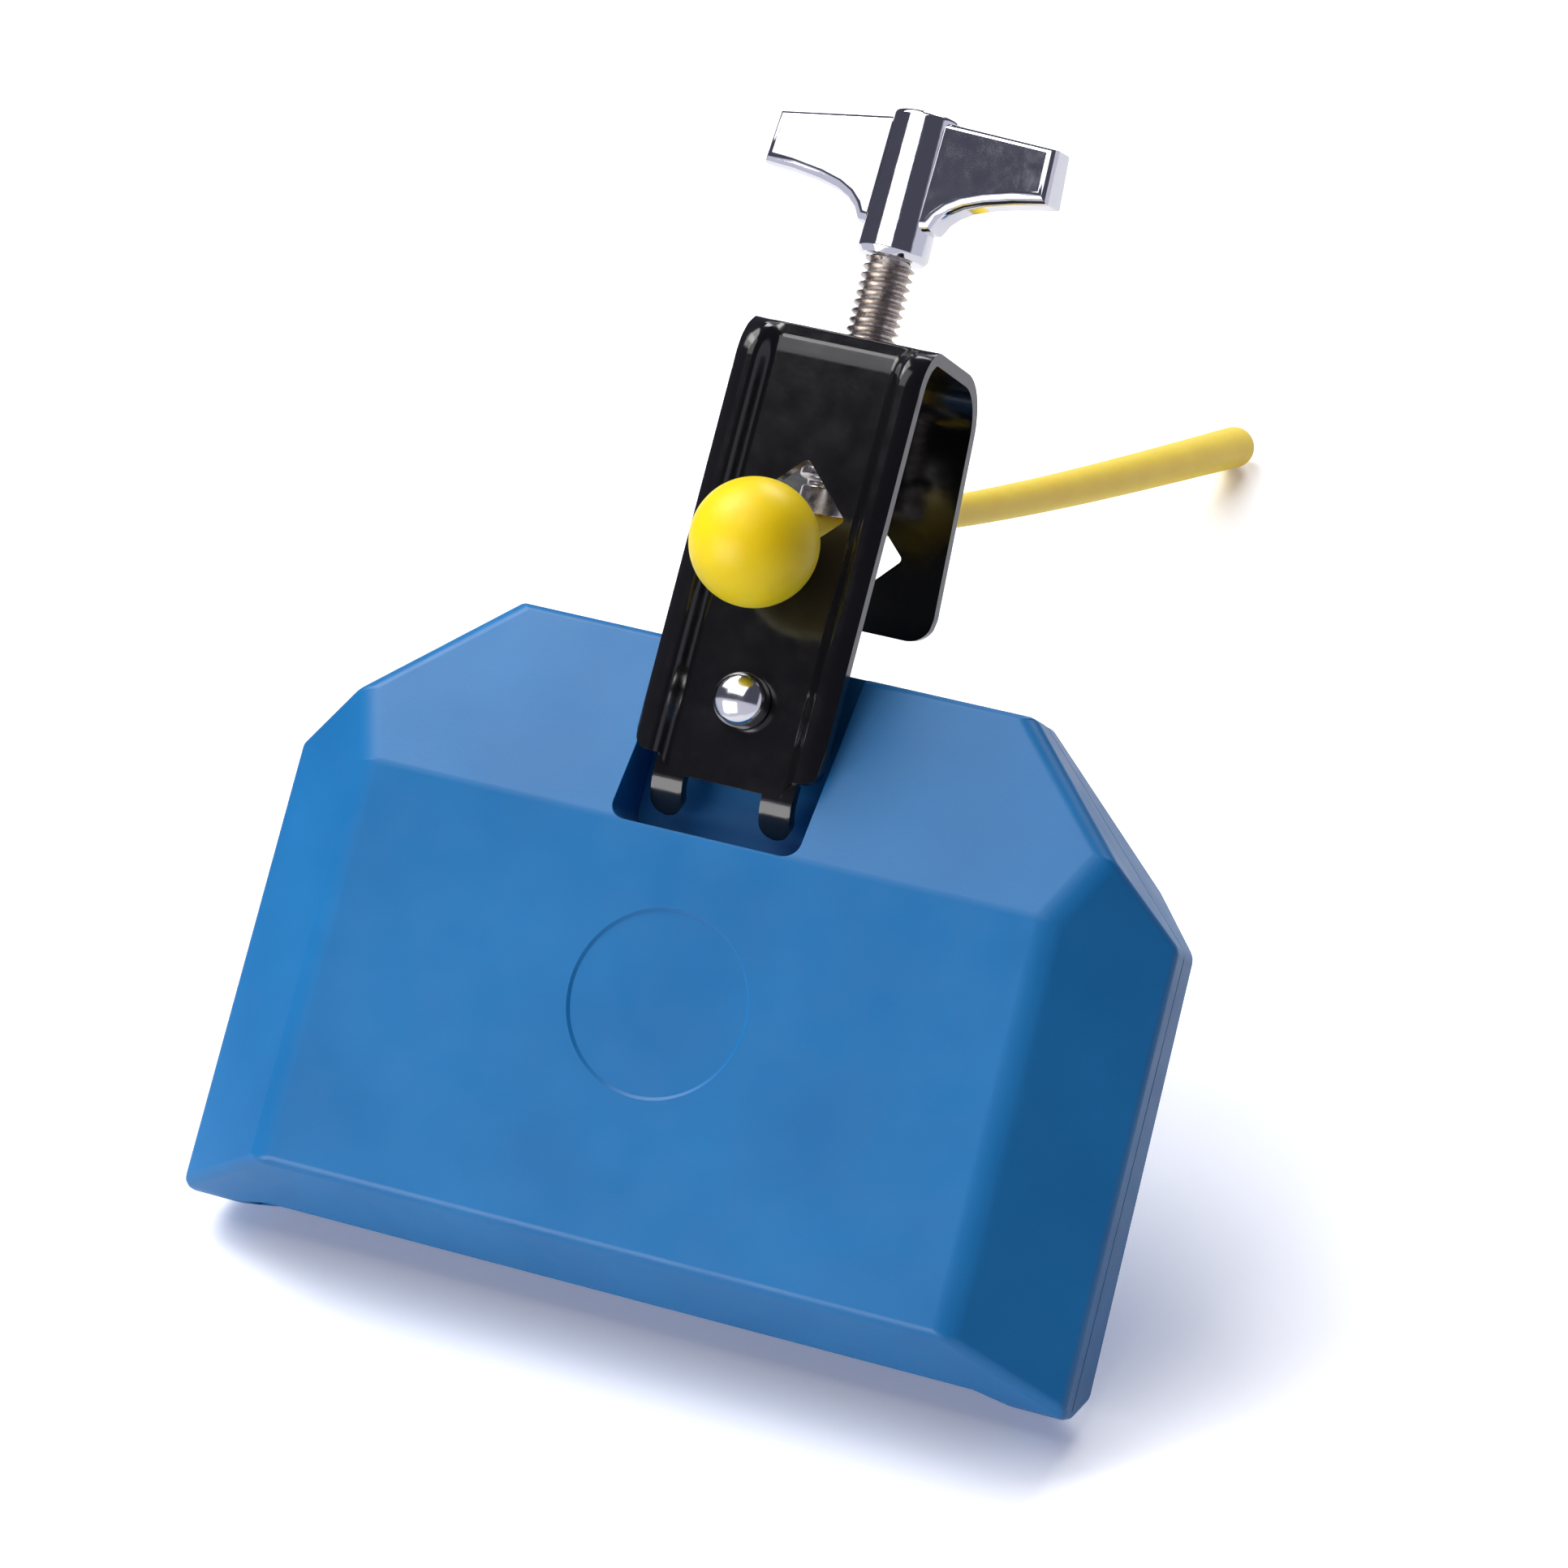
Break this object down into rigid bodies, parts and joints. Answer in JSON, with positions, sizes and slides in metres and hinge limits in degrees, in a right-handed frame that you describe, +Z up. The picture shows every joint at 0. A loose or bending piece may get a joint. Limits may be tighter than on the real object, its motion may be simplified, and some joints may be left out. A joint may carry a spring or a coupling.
{
  "type": "jam block on a rod clamp with its mallet",
  "caption": "Hollow moulded percussion block with a slot mouth, bolted to a pressed steel rod clamp whose wing screw holds a ball-headed mallet through the clamp windows.",
  "frame": {"origin": "middle of the clamp's rod windows, on the clamp screw's axis", "axes": "+Z up along the clamp screw toward its wing handle, +X to the right along the block's long side, -Y toward the striking face and the viewer"},
  "size_m": [0.1452, 0.2367, 0.1858],
  "materials": {
    "block_plastic": "satin moulded blue",
    "clamp_steel": "gloss black powder coat",
    "handle_chrome": "bright chrome on a casting",
    "thread_steel": "plated thread",
    "bolt_chrome": "bright dome head",
    "zinc_steel": "zinc plate",
    "mallet_ball": "satin yellow",
    "mallet_stick": "satin yellow"
  },
  "bodies": {
    "block_and_clamp": {"front_shell": "block_plastic", "rear_shell": "block_plastic", "bracket_strap": "clamp_steel", "clamp_nut": "clamp_steel", "mounting_bolt": "bolt_chrome", "inner_washer": "zinc_steel", "lock_washer": "zinc_steel", "mounting_nut": "zinc_steel"},
    "shoe": {"pressure_shoe": "thread_steel"},
    "wing_screw": {"clamp_screw": "thread_steel", "wing_handle": "handle_chrome"},
    "mallet": {"mallet_stick": "mallet_stick", "mallet_ball": "mallet_ball"}
  },
  "joints": [
    {"name": "shoe_lift", "type": "slide", "parent": "block_and_clamp", "child": "shoe", "axis": [0, 0, 1], "range_m": [0, 0.0072]},
    {"name": "screw_turn", "type": "hinge", "parent": "shoe", "child": "wing_screw", "pos_m": [0, 0, 0], "axis": [0, 0, 1], "range_deg": [0, 1800]},
    {"name": "mallet_draw", "type": "slide", "parent": "block_and_clamp", "child": "mallet", "axis": [0, -0.9643, -0.2647], "range_m": [0, 0.038]}
  ],
  "couplings": [
    {"joint": "shoe_lift", "follows": "screw_turn", "m_per_rad": 0.00022457}
  ]
}
